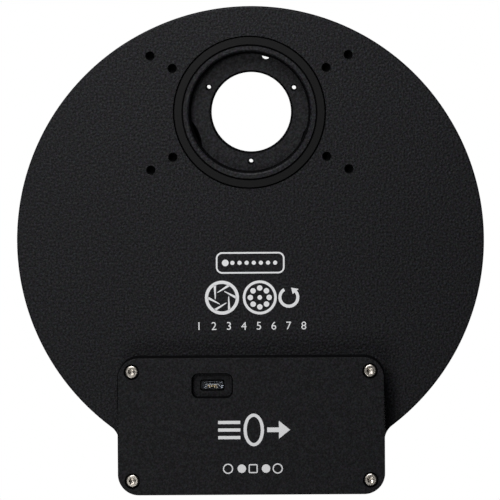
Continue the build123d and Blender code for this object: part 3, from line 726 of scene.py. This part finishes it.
marks.append(prism("m", [(cu + s * 1.35 * side[0], cv + s * 1.35 * side[1]) for s in (-1, 1)][::-1] + [(cu + 2.0 * along[0] - 0.35 * side[0], cv + 2.0 * along[1] - 0.35 * side[1])], LOW_INK, TOP_INK))
settle(joined("mark_symbols", marks), "mark_symbols", "housing", MAT["print"])


def numeral(text, u, v, tall):
    cu = bpy.data.curves.new("numeral", "FONT")
    cu.body, cu.size, cu.extrude = text, 1.0, 0.0
    cu.align_x, cu.align_y = "CENTER", "CENTER"
    ob = bpy.data.objects.new("numeral", cu)
    bpy.context.scene.collection.objects.link(ob)
    bpy.context.view_layer.update()
    me = bpy.data.meshes.new_from_object(ob.evaluated_get(bpy.context.evaluated_depsgraph_get()))
    bpy.data.objects.remove(ob)
    bpy.data.curves.remove(cu)
    vs = [x.co for x in me.vertices]
    lo, hi = min(c.y for c in vs), max(c.y for c in vs)
    mid = (min(c.x for c in vs) + max(c.x for c in vs)) / 2
    k = tall / (hi - lo)
    me.transform(Matrix.Translation((u, v, TOP_INK)) @ Matrix.Scale(k, 4) @ Matrix.Translation((-mid, -(lo + hi) / 2, 0)))
    bm = bmesh.new()
    bm.from_mesh(me)
    for f in bm.faces:
        if f.normal.z < 0:
            f.normal_flip()
    out = bmesh.ops.extrude_face_region(bm, geom=list(bm.faces))
    bmesh.ops.translate(bm, verts=[g for g in out["geom"] if isinstance(g, bmesh.types.BMVert)], vec=(0, 0, LOW_INK - TOP_INK))
    bmesh.ops.recalc_face_normals(bm, faces=bm.faces)
    bm.to_mesh(me)
    bm.free()
    ob = bpy.data.objects.new("numeral", me)
    bpy.context.scene.collection.objects.link(ob)
    return ob


settle(joined("mark_numbers", [numeral(str(n + 1), 0.15 + 5.15 * (n - 3.5), -29.4, 2.7) for n in range(8)]), "mark_numbers", "housing", MAT["print"])

LOW_INK, TOP_INK = BOX_H - 0.02, BOX_H
mu, mv = 0.9, -64.3
oval = lambda ru, rv: [(mu + ru * math.cos(2 * math.pi * k / 72), mv + rv * math.sin(2 * math.pi * k / 72)) for k in range(72)]
marks = [band(oval(3.5, 5.6), oval(2.4, 4.5), LOW_INK, BOX_H + INK)]
for dv in (-2.6, 0.0, 2.6):
    marks.append(prism("m", [(mu - 12.2, mv + dv - 0.55), (mu - 4.6, mv + dv - 0.55), (mu - 4.6, mv + dv + 0.55), (mu - 12.2, mv + dv + 0.55)], LOW_INK, BOX_H + INK))
marks.append(prism("m", [(mu + 4.6, mv - 0.8), (mu + 8.6, mv - 0.8), (mu + 8.6, mv - 3.1), (mu + 12.4, mv), (mu + 8.6, mv + 3.1), (mu + 8.6, mv + 0.8), (mu + 4.6, mv + 0.8)], LOW_INK, BOX_H + INK))
marks.append(band(circle(-8.0, -77.6, 1.75), circle(-8.0, -77.6, 1.35), LOW_INK, BOX_H + INK))
marks.append(prism("m", circle(-3.3, -77.6, 1.45), LOW_INK, BOX_H + INK))
marks.append(band(rounded(-0.95, 2.15, -79.15, -76.05, 0.5, 6), rounded(-0.95, 2.15, -79.15, -76.05, 0.5, 6, -0.4), LOW_INK, BOX_H + INK))
marks.append(prism("m", circle(5.0, -77.6, 1.45), LOW_INK, BOX_H + INK))
marks.append(band(circle(9.0, -77.6, 1.75), circle(9.0, -77.6, 1.35), LOW_INK, BOX_H + INK))
settle(joined("mark_box", marks), "mark_box", "housing", MAT["print"])

# ------------------------------------------------------------------ finishes of the inner parts
BY_SLOT = {"blasted_black": "housing", "cover_black": "cover", "turned_black": "ring", "stainless": "screw", "black_oxide_steel": "oxide",
           "ground_steel": "ground", "zinc_steel": "zinc", "bare_aluminium": "aluminium", "acetal": "acetal", "gear_brass": "brass",
           "magnet_grey": "magnet", "coil_copper": "copper", "board_laminate": "board", "black_plastic": "black_plastic",
           "crystal_case": "crystal", "ceramic_tan": "ceramic", "connector_white": "white_plastic", "lead_grey": "lead"}
for part in frame["record"]["subparts"]:
    node = frame["nodes"][part["node"]]
    node.data.materials.clear()
    node.data.materials.append(MAT[BY_SLOT[part["material_slot"]]])

# ------------------------------------------------------------------ camera
DISTANCE, AZ, EL, ROLL = 2.0, 0.9, 3.0, -0.41
AIM = TO_ROW @ Vector((-0.14, -3.3, 0.0))
FRAME_WIDTH = 0.1718
a, e = math.radians(AZ), math.radians(EL)
back = Vector((math.sin(a) * math.cos(e), -math.cos(a) * math.cos(e), math.sin(e)))
cam_data = bpy.data.cameras.new("camera")
cam = bpy.data.objects.new("camera", cam_data)
bpy.context.scene.collection.objects.link(cam)
cam_data.sensor_width = 36.0
cam_data.lens = 36.0 * DISTANCE / FRAME_WIDTH
cam_data.clip_start, cam_data.clip_end = 0.05, 20.0
cam.location = AIM + back * DISTANCE
cam.rotation_mode = "QUATERNION"
cam.rotation_quaternion = back.to_track_quat("Z", "Y") @ Quaternion((0, 0, 1), math.radians(ROLL))
bpy.context.scene.camera = cam

# ------------------------------------------------------------------ light
scene = bpy.context.scene
scene.view_settings.view_transform = "Standard"
scene.view_settings.look = "None"
world = bpy.data.worlds.new("world")
scene.world = world
world.use_nodes = True
nodes, links = world.node_tree.nodes, world.node_tree.links
nodes.clear()
out = nodes.new("ShaderNodeOutputWorld")
mix = nodes.new("ShaderNodeMixShader")
seen = nodes.new("ShaderNodeBackground")
seen.inputs["Color"].default_value = (1, 1, 1, 1)
seen.inputs["Strength"].default_value = 1.0
lit = nodes.new("ShaderNodeBackground")
lit.inputs["Strength"].default_value = 0.03
path = nodes.new("ShaderNodeLightPath")
way = nodes.new("ShaderNodeTexCoord")
lean = nodes.new("ShaderNodeVectorMath")
lean.operation = "DOT_PRODUCT"
lean.inputs[1].default_value = (-0.45, -0.15, 0.88)
links.new(way.outputs["Generated"], lean.inputs[0])
links.new(ramp(nodes, links, span(nodes, links, lean.outputs["Value"], -1.0, 1.0, 0.0, 1.0),
               [(0.0, (0.35,) * 3), (0.55, (0.8,) * 3), (1.0, (1.6, 1.6, 1.65))]), lit.inputs["Color"])
links.new(path.outputs["Is Camera Ray"], mix.inputs["Fac"])
links.new(lit.outputs["Background"], mix.inputs[1])
links.new(seen.outputs["Background"], mix.inputs[2])
links.new(mix.outputs["Shader"], out.inputs["Surface"])


def softbox(name, place, aim, size, power, tint=(1, 1, 1), size_y=None):
    data = bpy.data.lights.new(name, "AREA")
    data.shape = "RECTANGLE"
    data.size, data.size_y = size, size_y or size
    data.energy = power
    data.color = tint
    ob = bpy.data.objects.new(name, data)
    scene.collection.objects.link(ob)
    ob.location = place
    ob.rotation_mode = "QUATERNION"
    ob.rotation_quaternion = (Vector(place) - Vector(aim)).to_track_quat("Z", "Y")
    return ob


def lamp(name, off, turn, distance, size, power, tint=(1, 1, 1)):
    """A softbox off degrees away from straight in front of the face, on the side that turn points to."""
    t, p = math.radians(off), math.radians(turn)
    way = Vector((math.sin(t) * math.cos(p), -math.cos(t), math.sin(t) * math.sin(p)))
    centre = Vector((0.0, 0.0, -0.04))
    softbox(name, centre + way * distance, centre, size, power, tint)


lamp("key", 20.6, 138.6, 0.5, 0.09, 0.56, (0.99, 0.99, 1.0))
lamp("top", 52.0, 98.0, 0.4, 0.25, 1.30, (0.98, 0.98, 1.0))
lamp("low", 32.0, -112.0, 0.62, 0.24, 0.66, (0.98, 0.99, 1.0))
lamp("behind_left", 148.0, 172.0, 0.9, 0.45, 4.0, (0.98, 0.99, 1.0))
lamp("behind_right", 140.0, -12.0, 0.9, 0.45, 2.4, (0.99, 0.99, 1.0))
